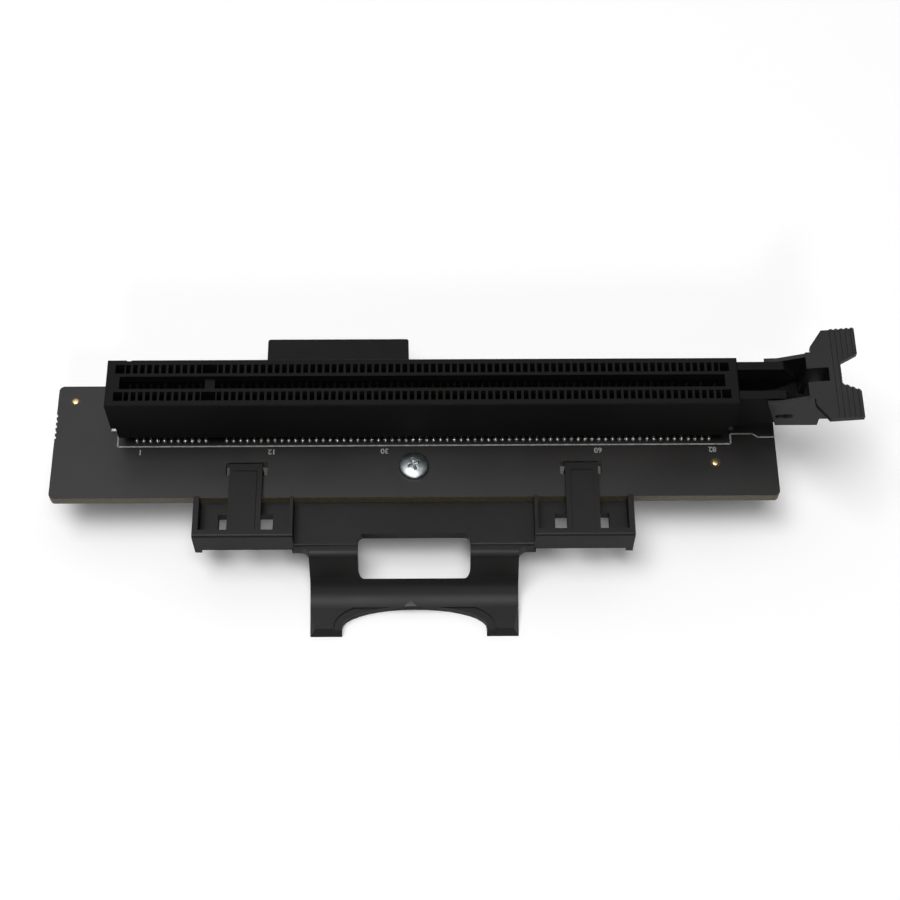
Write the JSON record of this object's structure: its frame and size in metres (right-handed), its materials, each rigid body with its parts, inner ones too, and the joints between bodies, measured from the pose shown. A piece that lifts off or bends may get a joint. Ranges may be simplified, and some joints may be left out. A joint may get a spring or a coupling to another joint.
{
  "type": "pcie riser card",
  "caption": "Narrow circuit board with a full-length card slot, a ribbed fish-tail latch at the slot's end, a host plug on the far edge and a clip-on bracket with a finger pull.",
  "frame": {"origin": "middle of the card slot, on the board's top face", "axes": "+X along the slot towards the latch, +Y towards the host plug, +Z out of the slot"},
  "size_m": [0.1146, 0.0451, 0.0234],
  "materials": {
    "board": "dark grey solder mask, low sheen",
    "slot_plastic": "black moulding, fine matt",
    "latch_plastic": "black moulding, fine matt",
    "bracket_plastic": "black moulding, fine matt",
    "plug_plastic": "black moulding, matt",
    "contacts": "gold-flashed copper alloy",
    "tinned_metal": "tin plated",
    "zinc_steel": "bright zinc"
  },
  "bodies": {
    "riser": {"circuit_board": "board", "slot_housing": "slot_plastic", "back_short_contacts": "contacts", "back_long_contacts": "contacts", "front_short_contacts": "contacts", "front_long_contacts": "contacts", "left_hold_down": "tinned_metal", "right_hold_down": "tinned_metal", "bracket_handle": "bracket_plastic", "bracket_screw": "zinc_steel", "host_plug_housing": "plug_plastic", "host_plug_upper_contacts": "contacts", "host_plug_lower_contacts": "contacts", "left_plug_tab": "tinned_metal", "right_plug_tab": "tinned_metal"},
    "latch": {"retention_latch": "latch_plastic"}
  },
  "joints": [
    {"name": "latch_hinge", "type": "hinge", "parent": "riser", "child": "latch", "pos_m": [0.0519, 0, 0.00745], "axis": [0, 1, 0], "range_deg": [0, 30]}
  ]
}
